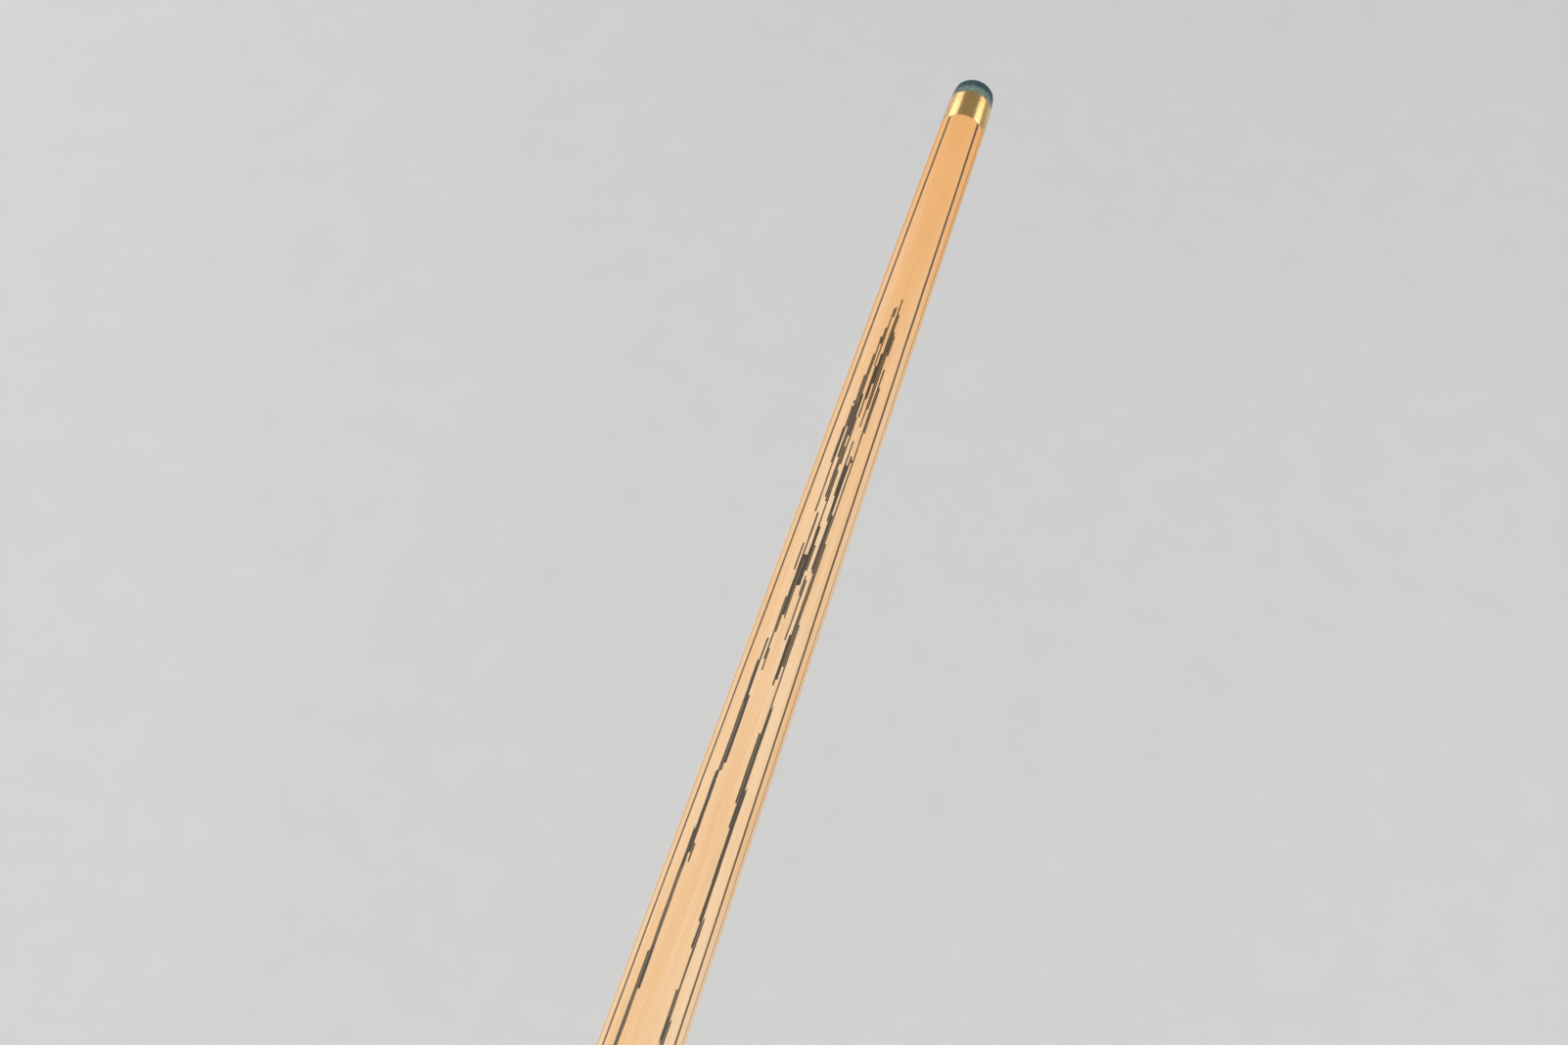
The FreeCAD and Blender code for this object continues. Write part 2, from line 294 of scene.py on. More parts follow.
def make_joint_pin():
    """Grooved anchor, plain pilot and a real helical thread with a chamfered end."""
    start, end = span("joint_pin")
    pilot_x = joint_x - 2.0
    outline = [(start, 0.0)] + eased([(start, 0.0), (start, 5.0, 0.3), (start + 1.0, ANCHOR_R)])[1:]
    outline += grooves(start + 1.0, pilot_x, ANCHOR_R) + [(pilot_x, ANCHOR_R)]
    outline += eased([(pilot_x, PILOT_R), (pilot_end, PILOT_R, 0.35), (pilot_end, thread_root_r)], 5)
    outline += thread(pilot_end, end - 0.2, pitch, thread_root_r, thread_r, 0.8, 0.79, fade=1.6)[1:]
    outline += [(end, 2.8), (end, 0.0)]
    return turned("joint_pin_fine", outline)


def make_insert():
    """Threaded brass insert. Its thread stays in mesh with the pin's, so it turns with the shaft."""
    start, end = span("shaft_insert")
    outer = reach("shaft_insert")[1]
    mouth_r, root_r, crest_r = PILOT_R + CLEAR, thread_r + CLEAR, thread_root_r + CLEAR
    outline = eased([(start, mouth_r, 0.3), (start, outer, 0.3), (end, outer)])[:-1]
    outline += grooves(start + 10.0, end, outer)
    outline += eased([(end - 3.0, outer), (end, outer, 0.3), (end, root_r)])[1:]
    inside = thread(end, pilot_end + 1.0, pitch, root_r, crest_r, 0.6, 0.79, phase=0.5)
    outline += inside[1:] + [(pilot_end + CLEAR, mouth_r)]
    return turned("shaft_insert_fine", outline, loop=True)


# ---- wood of the butt ----
def butt_side(x):
    """The butt's outside radius, with the chamfer at its end."""
    return butt_r(x) - max(0.0, end_chamfer - (x - wood_x))


def spread(a, b, count):
    """count + 1 points from a to b."""
    return [(a[0] + (b[0] - a[0]) * k / count, a[1] + (b[1] - a[1]) * k / count) for k in range(count + 1)]


def slab(x, low, high, turn):
    """Ring of one glued wood at x: between two heights, the quarter's diagonals and the outside."""
    radius = butt_side(x)
    corner = radius / math.sqrt(2)
    low = min(low, radius)
    high = max(low, min(high, radius))
    foot = min(low, math.sqrt(max(0.0, radius**2 - low**2)))
    half = spread((0.0, low), (foot, low), 6)
    elbow = min(corner, high)
    half += spread((foot, low), (elbow, elbow) if low < corner else (foot, low), 3)
    if high > corner:
        first = math.acos(min(1.0, max(low, corner) / radius))
        last = min(first, math.acos(min(1.0, high / radius)))
        arc = [first + (last - first) * k / 22 for k in range(23)]
        half += [(radius * math.sin(a), radius * math.cos(a)) for a in arc]
    else:
        half += [(high, high)] * 23
    half += spread(half[-1], (0.0, high), 6)
    ring = half + [(-y, z) for y, z in reversed(half)]
    c, s = math.cos(turn), math.sin(turn)
    return [(x, y * c - z * s, y * s + z * c) for y, z in ring]


def stations(start, end, ends):
    """Places along X for the rings of a glued wood, close together near where a wood runs out."""
    places = {start, end, wood_x + end_chamfer}
    places |= {start + (end - start) * k / 60 for k in range(61)}
    for stop in ends:
        places |= {stop - 40.0 * (k / 20) ** 2 for k in range(21)}
        places |= {stop + 6.0 * (k / 6) for k in range(7)}
    kept = []
    for x in sorted(places):
        if start <= x <= end and (not kept or x - kept[-1] > 0.02):
            kept.append(x)
    kept[-1] = end
    return kept


def make_wood(name, start, end, low, high, ends, index=0):
    turn = index * math.pi / 2
    return loft(name, [slab(x, low(x), high(x), turn) for x in stations(start, end, ends)])


def core_ring(x, half, radius):
    """Section of the square core, cut off by the outside. With a large half it is a plain circle."""
    edge = math.acos(min(1.0, half / radius)) if half * math.sqrt(2) > radius else math.pi / 4
    side = []
    for k in range(5):
        a = edge * k / 4
        r = min(radius, half / math.cos(a))
        side.append((a, r))
    for k in range(1, 13):
        a = edge + (math.pi / 4 - edge) * k / 12
        side.append((a, min(radius, half / math.cos(a))))
    octants = side + [(math.pi / 2 - a, r) for a, r in reversed(side[:-1])][:-1]
    ring = []
    for quarter in range(4):
        for a, r in octants:
            b = a + quarter * math.pi / 2
            ring.append((x, r * math.cos(b), r * math.sin(b)))
    return ring


def make_core():
    """Ash heart of the butt with all its bores, as one closed skin from bore end to bore end."""
    socket_end, socket_r = 35.85, reach("end_socket")[1] - FLANGE_LIP + GLUE
    shoulder = span("butt_collar")[0] - GLUE
    spigot_end = span("butt_core")[1]
    bore_end, bore_r = 121.8, 6.0
    inside = [(bore_end, 0.0), (bore_end, bore_r), (socket_end, bore_r)]
    inside += [(socket_end, socket_r), (core_x, socket_r)]
    rings = [core_ring(x, OUTSIDE, max(r, 1e-4)) for x, r in inside]
    spear = crossing(lambda x: core_half(x) * math.sqrt(2), butt_r)
    places = stations(core_x, shoulder, [spear, point_x])
    rings += [core_ring(x, core_half(x) if x < point_x else OUTSIDE, butt_r(x)) for x in places]
    anchor_x, anchor_r = span("joint_pin")[0] - 1.0, ANCHOR_R + GLUE
    after = [(shoulder, SPIGOT_R), (spigot_end - 0.3, SPIGOT_R), (spigot_end, SPIGOT_R - 0.3)]
    after += [(spigot_end, anchor_r), (anchor_x, anchor_r), (anchor_x, 0.0)]
    rings += [core_ring(x, OUTSIDE, max(r, 1e-4)) for x, r in after]
    return loft("butt_core_fine", rings)


def flat_frame():
    """Centre of the badge on the flat, and the matrix that lays a turned piece's X axis square to it."""
    along = Vector((1.0, 0.0, flat(1.0) - flat(0.0))).normalized()
    normal = Vector((-along.z, 0.0, along.x))
    centre = Vector((wood_x, 0.0, flat(wood_x))) + along * BADGE_AT
    basis = Matrix((normal, Vector((0.0, 1.0, 0.0)), normal.cross(Vector((0.0, 1.0, 0.0))))).transposed()
    return centre, basis


def badge_radius():
    centre, _ = flat_frame()
    return math.sqrt(butt_r(centre.x) ** 2 - centre.z**2) - 2.0


def on_flat(obj):
    """Moves a turned piece's mesh from the cue's axis to the badge's place."""
    centre, basis = flat_frame()
    obj.data.transform(Matrix.Translation(centre * MM) @ basis.to_4x4())
    clean(obj)
    return obj


def make_badge():
    """Plain round badge: a raised rim with a bead inside it, round a shallow domed field."""
    r = badge_radius()
    outline = [(-0.75, 0.0), (-0.75, r, 0.05), (0.15, r, 0.12), (0.15, r - 0.55, 0.06)]
    outline += [(0.02, r - 0.65, 0.04), (0.02, r - 0.95, 0.04)]
    outline += [(0.1, r - 1.05, 0.04), (0.1, r - 1.25, 0.04), (0.02, r - 1.35, 0.04)]
    outline += [(0.06, r - 3.0), (0.09, r - 4.5), (0.1, 0.0)]
    return on_flat(turned("badge_fine", eased(outline)))


def ebony_low(x):
    """Glue plane between an ebony splice and its veneer."""
    return core_half(x) + veneer


def front_low(x):
    """Glue plane between the top ebony splice and the front splice's veneer."""
    return front(x) - veneer


def make_butt_woods():
    """Veneers, ebony splices and the front splice, as {CAD node: piece}."""
    ebony_end = crossing(ebony_low, butt_r)
    veneer_end, front_end = crossing(front_low, butt_r), crossing(front, butt_r)
    spear = crossing(lambda x: core_half(x) * math.sqrt(2), butt_r)
    ebony_spear = crossing(lambda x: ebony_low(x) * math.sqrt(2), butt_r)
    front_spear = crossing(lambda x: front(x) * math.sqrt(2), butt_r)
    made = {}
    for i in range(4):
        node = f"veneer_{i + 1}"
        ends = [ebony_end, point_x, spear, ebony_spear]
        made[node] = make_wood(node + "_fine", wood_x, point_x, core_half, ebony_low, ends, i)
        node = f"ebony_splice_{i + 1}"
        high = front_low if i == 0 else lambda x: OUTSIDE
        ends = [ebony_end, ebony_spear] + ([veneer_end] if i == 0 else [])
        made[node] = make_wood(node + "_fine", wood_x, ebony_end, ebony_low, high, ends, i)
    ends = [veneer_end, front_end, front_spear]
    made["front_veneer"] = make_wood(
        "front_veneer_fine", wood_x, veneer_end, front_low, lambda x: min(front(x), flat(x)), ends
    )
    ends = [front_end, FLAT_END, front_spear]
    made["front_splice"] = make_wood("front_splice_fine", wood_x, front_end, front, flat, ends)
    seat = turned("seat_cutter", [(-5.0, 0.0), (-5.0, seat_r), (core_x, seat_r), (core_x, 0.0)], sides=128)
    for piece in made.values():
        carve(piece, seat)
    r = badge_radius() + GLUE
    pocket = on_flat(turned("pocket_cutter", [(-0.8, 0.0), (-0.8, r), (8.0, r), (8.0, 0.0)]))
    carve(made["front_splice"], pocket)
    for cutter in (seat, pocket):
        bpy.data.objects.remove(cutter)
    return made


# ---- butt's end ----
def make_bumper():
    end = span("bumper")[1]
    side = reach("bumper")[1]
    flange = reach("end_socket")[1] + GLUE
    body = flange - FLANGE_LIP
    outline = [(0.0, flange, 0.25), (0.0, side, 0.8), (end, side, 0.2), (end, body)]
    outline += [(FLANGE_X, body), (FLANGE_X, flange)]
    return turned("bumper_fine", eased(outline, 6), loop=True, sides=128)


def make_end_socket():
    """Flanged brass socket, glue grooves outside and a female thread inside for an extension."""
    start, end = span("end_socket")
    flange = reach("end_socket")[1]
    body = flange - FLANGE_LIP
    outline = eased([(start, 5.7, 0.2), (start, flange, 0.35), (FLANGE_X, flange), (FLANGE_X, body)])
    outline += grooves(core_x, end, body)
    outline += eased([(end - 1.0, body), (end, body, 0.4), (end, 5.0, 0.3), (end - 6.0, 5.0)])[1:]
    outline += thread(end - 7.0, start + 0.8, 2.0, 5.0, 5.5, 0.5, 0.6, fade=0.9)
    return turned("end_socket_fine", outline, loop=True, sides=128)


def make_weight_bolt():
    """Threaded steel weight with a hexagon socket facing the butt's end."""
    start, end = span("weight_bolt")
    side = reach("weight_bolt")[1]

    def hexagon(a):
        return 3.0 / math.cos((a + math.pi / 6) % (math.pi / 3) - math.pi / 6)

    outline = [(start + 10.0, 0.0), (start + 9.0, hexagon), (start + 0.3, hexagon)]
    outline += [(start, lambda a: hexagon(a) + 0.3), (start, side - 0.8), (start + 0.5, side - 0.45)]
    outline += thread(start + 0.6, end - 0.6, 2.5, side - 0.55, side, 0.7, 0.6, fade=1.0)
    outline += [(end - 0.4, side - 0.6), (end, side - 0.9), (end, 0.0)]
    return turned("weight_bolt_fine", outline)


# ---- materials ----
class Finish:
    """A procedural material. Its point is the piece's own place in millimetres."""

    def __init__(self, name, **fixed):
        self.material = bpy.data.materials.new(name)
        self.material.use_nodes = True
        self.tree = self.material.node_tree
        self.tree.nodes.clear()
        self.shader = self.tree.nodes.new("ShaderNodeBsdfPrincipled")
        output = self.tree.nodes.new("ShaderNodeOutputMaterial")
        self.tree.links.new(self.shader.outputs["BSDF"], output.inputs["Surface"])
        for key, value in fixed.items():
            self.shader.inputs[key.replace("_", " ").title().replace("Ior", "IOR")].default_value = value
        place = self.tree.nodes.new("ShaderNodeTexCoord").outputs["Object"]
        self.point = self.vector("MULTIPLY", place, (1 / MM,) * 3)
        self.x, self.y, self.z = self.split(self.point)

    def put(self, socket, value):
        if isinstance(value, bpy.types.NodeSocket):
            self.tree.links.new(value, socket)
        else:
            socket.default_value = value

    def vector(self, operation, a, b):
        node = self.tree.nodes.new("ShaderNodeVectorMath")
        node.operation = operation
        self.put(node.inputs[0], a)
        self.put(node.inputs[1], b)
        return node.outputs["Vector"]

    def split(self, vector):
        node = self.tree.nodes.new("ShaderNodeSeparateXYZ")
        self.put(node.inputs[0], vector)
        return node.outputs

    def join(self, x, y, z):
        node = self.tree.nodes.new("ShaderNodeCombineXYZ")
        for socket, value in zip(node.inputs, (x, y, z)):
            self.put(socket, value)
        return node.outputs[0]

    def math(self, operation, a, b=0.0):
        node = self.tree.nodes.new("ShaderNodeMath")
        node.operation = operation
        for socket, value in zip(node.inputs, (a, b)):
            self.put(socket, value)
        return node.outputs[0]

    def noise(self, stretch, detail=2.0, roughness=0.5):
        """Noise from about 0 to 1 with this many waves to the millimetre along X, Y and Z."""
        node = self.tree.nodes.new("ShaderNodeTexNoise")
        self.put(node.inputs["Vector"], self.vector("MULTIPLY", self.point, stretch))
        node.inputs["Scale"].default_value = 1.0
        node.inputs["Detail"].default_value = detail
        node.inputs["Roughness"].default_value = roughness
        return node.outputs["Fac"]

    def chance(self, a, b):
        """A random number from 0 to 1 for each pair of whole numbers."""
        node = self.tree.nodes.new("ShaderNodeTexWhiteNoise")
        node.noise_dimensions = "2D"
        self.put(node.inputs["Vector"], self.join(a, b, 0.0))
        return node.outputs["Value"]

    def ramp(self, value, stops, interpolation="LINEAR"):
        """Numbers or colours by value. Each stop is (place, number or colour)."""
        node = self.tree.nodes.new("ShaderNodeValToRGB")
        node.color_ramp.interpolation = interpolation
        self.put(node.inputs["Fac"], value)
        elements = node.color_ramp.elements
        while len(elements) < len(stops):
            elements.new(0.5)
        for element, (place, what) in zip(elements, stops):
            element.position = place
            element.color = (what,) * 3 + (1.0,) if isinstance(what, float) else (*what, 1.0)
        return node.outputs["Color"]

    def mix(self, amount, a, b):
        node = self.tree.nodes.new("ShaderNodeMix")
        node.data_type = "RGBA"
        node.clamp_factor = True
        self.put(node.inputs[0], amount)
        for socket, value in zip((node.inputs[6], node.inputs[7]), (a, b)):
            self.put(socket, value if isinstance(value, bpy.types.NodeSocket) else (*value, 1.0))
        return node.outputs[2]

    def about(self, value, size):
        """A value from 0 to 1 turned into one from minus half the size to plus half."""
        return self.math("MULTIPLY", self.math("SUBTRACT", value, 0.5), size)

    def bump(self, height, strength, distance):
        node = self.tree.nodes.new("ShaderNodeBump")
        node.inputs["Strength"].default_value = strength
        node.inputs["Distance"].default_value = distance * MM
        self.put(node.inputs["Height"], height)
        self.put(self.shader.inputs["Normal"], node.outputs["Normal"])

    def set(self, name, value):
        self.put(self.shader.inputs[name], value)


def bands(finish, height, rows):
    """Each row is (first height, last height, number between them); outside every row it is 0."""
    low, size = -12.0, 24.0
    stops = [(0.0, 0.0)]
    for first, last, number in sorted(rows):
        if stops[-1][0] >= (first - low) / size - 1e-4:
            stops.pop()
        stops += [((first - low) / size, number), ((last - low) / size, 0.0)]
    place = finish.math("DIVIDE", finish.math("SUBTRACT", height, low), size)
    return finish.ramp(place, stops, "CONSTANT")


def strokes(f, shift, rows):
    """Open pores filled dark, as straight strokes along X in narrow columns.

    A column is dark where its height falls in one of the rows' bands. Strokes get rarer where the wood is
    more open, and places along the shaft go from 0 at the joint to 1 at the ferrule.
    """
    width, length = 0.3, 15.0
    place = f.math("DIVIDE", f.math("SUBTRACT", f.x, joint_x), ferrule_x - joint_x)
    swell = f.ramp(place, [(0.0, 0.0), (0.855, 0.0), (0.9, 1.0), (0.945, 0.0)], "EASE")
    shift = f.math("ADD", shift, f.math("MULTIPLY", swell, 0.28))
    sway = f.about(f.noise((0.03, 0.1, 0.1), 2.0), 0.5)
    ragged = f.about(f.noise((0.2, 2.5, 2.5), 0.0), 0.1)
    across = f.math("DIVIDE", f.math("ADD", f.y, f.math("ADD", sway, ragged)), width)
    column = f.math("FLOOR", across)
    start = f.math("MULTIPLY", f.chance(column, 0.0), 7.3)
    run = f.math("FLOOR", f.math("ADD", f.math("DIVIDE", f.x, length), start))
    draw, nudge = f.chance(column, run), f.chance(run, column)

    # height of the growth layer in the middle of the column, so that a stroke's sides run straight
    middle = f.math("SUBTRACT", f.math("MULTIPLY", f.math("ADD", column, 0.5), width), sway)
    radius = f.math("ADD", f.math("MULTIPLY", f.y, f.y), f.math("MULTIPLY", f.z, f.z))
    rise = f.math("SUBTRACT", radius, f.math("MULTIPLY", middle, middle))
    rise = f.math("SQRT", f.math("MAXIMUM", rise, 0.0))
    height = f.math("MULTIPLY", rise, f.math("SIGN", f.z))
    height = f.math("ADD", f.math("ADD", height, shift), f.about(nudge, 0.1))
    deep = f.math("MAXIMUM", f.math("SUBTRACT", height, rows[0][0]), 0.0)
    height = f.math("SUBTRACT", height, f.math("MULTIPLY", f.math("MULTIPLY", deep, swell), 0.36))

    # how thinly the sparse bands are filled, and how much wood stays open everywhere
    stops = [(0.0, 0.4), (0.2, 1.0), (0.35, 0.2), (0.5, 0.0), (0.6, 0.5), (0.76, 1.0), (0.8, 0.3)]
    thin = f.ramp(place, stops + [(0.84, 0.0)])
    sparse = f.math("SUBTRACT", 1.0, bands(f, height, rows))
    sparse = f.math("MULTIPLY", sparse, f.math("ADD", f.math("MULTIPLY", thin, 3.0), 1.0))
    stops = [(0.0, 0.2), (0.74, 0.0), (0.79, 0.0), (0.815, 0.12), (0.85, 0.22), (0.87, 0.5), (0.92, 0.36)]
    open_wood = f.ramp(place, stops + [(0.95, 0.0)])
    dark = f.math("LESS_THAN", f.math("ADD", f.math("ADD", draw, sparse), open_wood), 1.0)
    gap = f.math("GREATER_THAN", f.math("FRACT", across), 0.7)
    split = f.math("MULTIPLY", gap, f.math("GREATER_THAN", nudge, 0.45))
    return f.math("MULTIPLY", dark, f.math("SUBTRACT", 1.0, f.math("MULTIPLY", split, 0.35)))


def ash():
    """Oiled ash, its grain filled dark. Growth rings lie square to Z, so they draw chevrons on the crown."""
    f = Finish("ash", roughness=0.5, specular_ior_level=0.28)
    drift = f.about(f.noise((0.006, 0.02, 0.02), 1.0), 0.3)
    waver = f.about(f.noise((0.05, 0.15, 0.15), 2.0), 0.14)
    shift = f.math("ADD", drift, waver)
    height = f.math("ADD", f.z, shift)
    late = [(-4.6, -4.25, 0.95), (-3.2, -2.95, 0.85), (-1.45, -1.2, 0.8)]
    late += [(0.3, 0.55, 0.75), (1.95, 2.2, 0.75), (3.64, 4.02, 1.0)]
    lines = bands(f, height, late)
    rings = []
    for first, size, thinning in (
        (5.36, 0.54, 0.66),
        (7.4, 0.42, 0.5),
        (9.25, 0.45, 0.45),
        (10.7, 0.3, 0.4),
        (-6.35, 0.45, 0.5),
        (-8.05, 0.45, 0.5),
        (-9.8, 0.4, 0.4),
    ):
        dense, sparse = first + 0.38 * size, first + 0.75 * size
        rings += [(first, dense, 1.0), (dense, sparse, (1.0 + thinning) / 2)]
        rings += [(sparse, first + size, thinning)]
    pores = strokes(f, shift, rings)
    wash = f.noise((0.012, 0.28, 0.28), 3.0, 0.55)
    fibres = f.noise((0.05, 5.0, 5.0), 3.0, 0.6)
    wood = f.mix(f.ramp(wash, [(0.35, 0.0), (0.68, 1.0)]), (0.92, 0.66, 0.41), (0.86, 0.52, 0.25))
    near_tip = f.math("DIVIDE", f.math("SUBTRACT", f.x, ferrule_x - 130.0), 130.0)
    wood = f.mix(f.math("MULTIPLY", f.ramp(near_tip, [(0.0, 0.0), (1.0, 1.0)]), 0.8), wood, (0.88, 0.4, 0.1))
    wood = f.mix(f.ramp(fibres, [(0.3, 0.0), (0.75, 0.28)]), wood, (0.58, 0.29, 0.1))
    wood = f.mix(f.math("MULTIPLY", lines, 0.92), wood, (0.06, 0.035, 0.018))
    wood = f.mix(f.math("MULTIPLY", pores, 0.95), wood, (0.032, 0.032, 0.026))
    f.set("Base Color", wood)
    dips = f.math("SUBTRACT", f.math("MULTIPLY", fibres, 0.4), pores)
    f.bump(dips, 0.3, 0.03)
    return f.material


def ebony():
    f = Finish("ebony", roughness=0.3, specular_ior_level=0.3, coat_weight=0.25, coat_roughness=0.12)
    streak = f.noise((0.012, 0.8, 0.8), 4.0, 0.6)
    fine = f.noise((0.05, 6.0, 6.0), 2.0)
    stops = [(0.35, (0.012, 0.009, 0.008)), (0.55, (0.022, 0.015, 0.012)), (0.75, (0.06, 0.036, 0.024))]
    wood = f.ramp(streak, stops)
    wood = f.mix(f.ramp(fine, [(0.55, 0.0), (0.8, 0.35)]), wood, (0.004, 0.003, 0.003))
    f.set("Base Color", wood)
    f.bump(fine, 0.15, 0.02)
    return f.material


def rosewood():
    f = Finish("rosewood", roughness=0.24, specular_ior_level=0.5, coat_weight=0.6, coat_roughness=0.12)
    bend = f.about(f.noise((0.01, 0.05, 0.05), 2.0), 6.0)
    layer = f.math("ADD", f.math("MULTIPLY", f.z, 1.1), bend)
    ring = f.math("FRACT", f.math("MULTIPLY", f.math("ADD", layer, f.math("MULTIPLY", f.y, 0.35)), 0.55))
    stops = [(0.0, (0.10, 0.022, 0.012)), (0.3, (0.27, 0.07, 0.03))]
    stops += [(0.75, (0.33, 0.10, 0.045)), (1.0, (0.12, 0.028, 0.015))]
    wood = f.ramp(ring, stops)
    pores = f.noise((0.09, 5.0, 5.0), 2.0, 0.7)
    wood = f.mix(f.ramp(pores, [(0.58, 0.0), (0.66, 0.85)]), wood, (0.03, 0.008, 0.006))
    f.set("Base Color", wood)
    f.bump(pores, 0.15, -0.02)
    return f.material


def maple():
    f = Finish("maple veneer", roughness=0.3, specular_ior_level=0.5, coat_weight=0.5, coat_roughness=0.15)
    fibres = f.noise((0.06, 5.0, 5.0), 3.0)
    curl = f.noise((0.35, 0.2, 0.2), 1.0)
    wood = f.mix(f.ramp(fibres, [(0.35, 0.0), (0.75, 0.5)]), (0.78, 0.60, 0.36), (0.62, 0.41, 0.2))
    wood = f.mix(f.ramp(curl, [(0.4, 0.0), (0.7, 0.18)]), wood, (0.88, 0.74, 0.5))
    f.set("Base Color", wood)
    f.bump(fibres, 0.15, 0.015)
    return f.material


def brass():
    """Turned brass: fine tool rings along X, a few deeper ones and slightly darker patches of handling."""
    f = Finish("turned brass", metallic=1.0, specular_ior_level=0.5)
    rings = f.noise((9.0, 0.05, 0.05), 3.0, 0.7)
    stain = f.noise((0.25, 0.25, 0.25), 4.0, 0.6)
    color = f.mix(f.ramp(stain, [(0.38, 0.0), (0.75, 0.55)]), (0.89, 0.60, 0.24), (0.70, 0.41, 0.14))
    f.set("Base Color", color)
    smear = f.math("ADD", f.math("MULTIPLY", stain, 0.16), f.math("MULTIPLY", rings, 0.08))
    f.set("Roughness", f.math("ADD", smear, 0.14))
    f.bump(rings, 0.25, 0.012)
    return f.material


def leather():
    """Chalked leather tip: dark blue-green face, with a pale dusty side next to the ferrule."""
    f = Finish("chalked leather", roughness=0.9, specular_ior_level=0.25)
    f.set("Sheen Weight", 0.08)
    f.set("Sheen Roughness", 0.6)
    grain = f.noise((2.2, 2.2, 2.2), 4.0, 0.7)
    dust = f.noise((0.9, 0.9, 0.9), 3.0, 0.6)
    place = f.math("DIVIDE", f.math("SUBTRACT", f.x, ferrule_top), tip_end - ferrule_top)
    edge = f.math("ADD", place, f.about(dust, 0.28))
    face = f.mix(f.ramp(grain, [(0.35, 0.0), (0.7, 1.0)]), (0.005, 0.028, 0.034), (0.02, 0.085, 0.095))
    side = f.mix(f.ramp(grain, [(0.35, 0.0), (0.7, 1.0)]), (0.07, 0.11, 0.095), (0.24, 0.3, 0.255))
    f.set("Base Color", f.mix(f.ramp(edge, [(0.2, 0.0), (0.4, 1.0)]), side, face))
    f.bump(f.math("ADD", grain, dust), 0.6, 0.12)
    return f.material


def rubber():
    f = Finish("rubber", roughness=0.72, specular_ior_level=0.35)
    speck = f.noise((3.0, 3.0, 3.0), 4.0, 0.7)
    scuff = f.noise((0.35, 0.35, 0.35), 4.0, 0.6)
    color = f.mix(f.ramp(scuff, [(0.45, 0.0), (0.8, 0.6)]), (0.018, 0.018, 0.02), (0.055, 0.054, 0.052))
    f.set("Base Color", color)
    f.bump(speck, 0.3, 0.05)
    return f.material


def steel():
    f = Finish("zinc steel", metallic=1.0, specular_ior_level=0.5)
    rings = f.noise((6.0, 0.3, 0.3), 3.0, 0.7)
    stain = f.noise((0.4, 0.4, 0.4), 3.0, 0.6)
    f.set("Base Color", f.mix(f.ramp(stain, [(0.4, 0.0), (0.8, 0.5)]), (0.58, 0.58, 0.6), (0.4, 0.41, 0.44)))
    f.set("Roughness", f.math("ADD", f.math("MULTIPLY", rings, 0.15), 0.25))
    f.bump(rings, 0.3, 0.02)
    return f.material


# ---- the pieces ----
pieces = {
    "tip": (make_tip(), "shaft", "tip_leather"),
    "ferrule": (make_ferrule(), "shaft", "brass"),
    "shaft_wood": (make_shaft_wood(), "shaft", "ash"),
    "shaft_collar": (make_collar("shaft_collar", joint_x + 0.05, 1, shaft_r), "shaft", "brass"),
    "shaft_insert": (make_insert(), "shaft", "brass"),
    "joint_pin": (make_joint_pin(), "butt", "brass"),
    "butt_collar": (make_collar("butt_collar", joint_x, -1, butt_r), "butt", "brass"),
    "butt_core": (make_core(), "butt", "ash"),
    "badge": (make_badge(), "butt", "brass"),
    "bumper": (make_bumper(), "butt", "rubber"),
    "end_socket": (make_end_socket(), "butt", "brass"),
    "weight_bolt": (make_weight_bolt(), "weight", "steel"),
}
for node, piece in make_butt_woods().items():
    kind = "rosewood" if node == "front_splice" else "ebony" if node.startswith("ebony") else "veneer"
    pieces[node] = (piece, "butt", kind)

finishes = {
    "tip_leather": leather(),
    "brass": brass(),
    "ash": ash(),
    "ebony": ebony(),
    "rosewood": rosewood(),
    "veneer": maple(),
    "rubber": rubber(),
    "steel": steel(),
}
for node, (piece, body, slot) in pieces.items():
    piece.data.materials.clear()
    piece.data.materials.append(finishes[slot])
    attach(piece, body)
    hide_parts(node)


# ---- stage ----
def make_floor():
    """Plain pale floor, well below the cue, which is held above it."""
    mesh = bpy.data.meshes.new("floor")
    far, z = 60.0, -0.3
    mesh.from_pydata([(-far, -far, z), (far, -far, z), (far, far, z), (-far, far, z)], [], [(0, 1, 2, 3)])
    floor = bpy.data.objects.new("floor", mesh)
    bpy.context.scene.collection.objects.link(floor)
    paint = Finish("floor", roughness=0.9, specular_ior_level=0.2)
    speck = paint.noise((0.05, 0.05, 0.05), 3.0, 0.6)
    paint.set("Base Color", paint.mix(speck, (0.56, 0.56, 0.56), (0.6, 0.6, 0.6)))
    mesh.materials.append(paint.material)


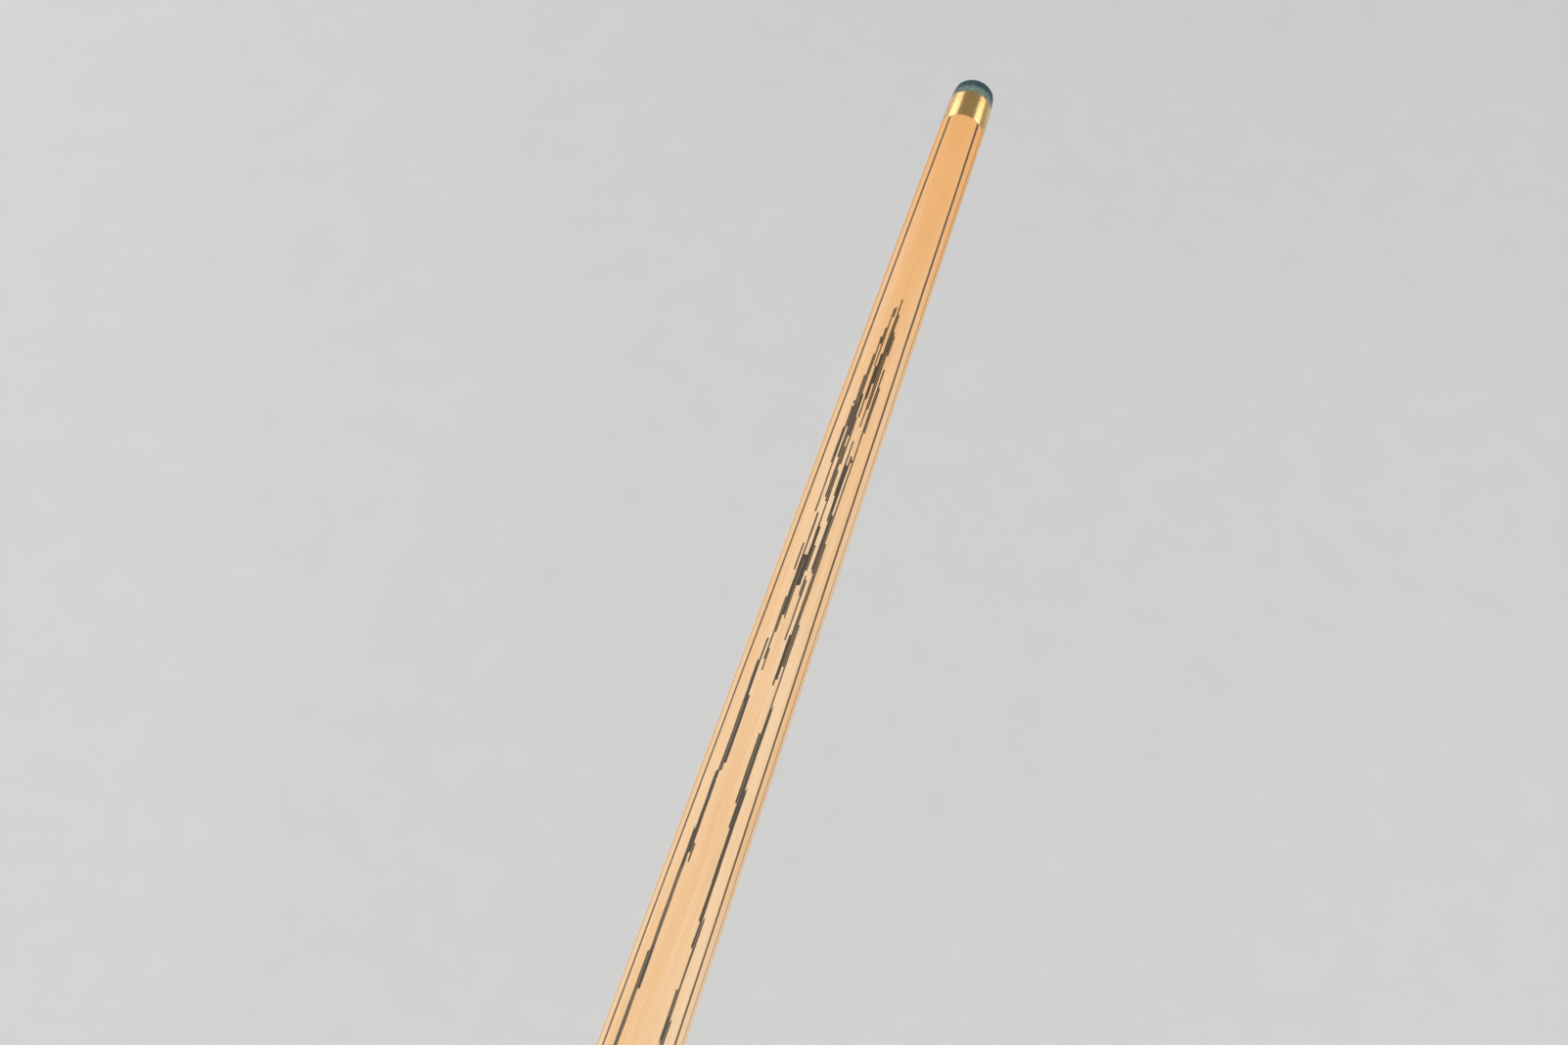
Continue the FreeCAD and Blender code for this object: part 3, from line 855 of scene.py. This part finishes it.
def soft_light(name, place, target, size, power):
    """A large soft rectangular light at place, facing target."""
    light = bpy.data.lights.new(name, "AREA")
    light.shape = "RECTANGLE"
    light.size, light.size_y = size
    light.energy = power
    lamp = bpy.data.objects.new(name, light)
    lamp.location = place
    lamp.rotation_euler = (Vector(target) - Vector(place)).to_track_quat("-Z", "Y").to_euler()
    bpy.context.scene.collection.objects.link(lamp)


def even_light(name, strength, spread):
    """Light from straight above, the same all over the floor, soft over this many degrees."""
    light = bpy.data.lights.new(name, "SUN")
    light.energy = strength
    light.angle = math.radians(spread)
    lamp = bpy.data.objects.new(name, light)
    lamp.location = (0.7, 0.0, 3.0)
    bpy.context.scene.collection.objects.link(lamp)


def make_camera():
    """50 mm lens on a 36 mm frame, above the shaft and behind the ferrule, looking along the cue."""
    place, target, roll = Vector((1.03662, -0.02141, 0.30612)), Vector((1.30425, 0.00712, 0.0)), 12.13
    data = bpy.data.cameras.new("camera")
    data.lens, data.sensor_width = 50.0, 36.0
    data.clip_start, data.clip_end = 0.01, 50.0
    camera = bpy.data.objects.new("camera", data)
    aim = (target - place).to_track_quat("-Z", "Y").to_matrix().to_4x4()
    camera.matrix_world = Matrix.Translation(place) @ aim @ Matrix.Rotation(math.radians(roll), 4, "Z")
    bpy.context.scene.collection.objects.link(camera)
    bpy.context.scene.camera = camera


make_floor()
soft_light("left", (1.3, 0.92, 0.27), (1.3, 0.0, 0.0), (3.4, 0.8), 13.5)
soft_light("right", (1.3, -0.82, 0.47), (1.3, 0.0, 0.0), (3.4, 0.6), 11.0)
soft_light("above", (0.3, 0.0, 1.15), (0.3, 0.0, 0.0), (1.8, 1.2), 5.0)
even_light("ceiling", 0.65, 60.0)
world = bpy.data.worlds.new("studio")
world.use_nodes = True
world.node_tree.nodes["Background"].inputs["Color"].default_value = (1.0, 0.99, 0.97, 1.0)
world.node_tree.nodes["Background"].inputs["Strength"].default_value = 0.28
bpy.context.scene.world = world
bpy.context.scene.view_settings.view_transform = "Standard"
make_camera()
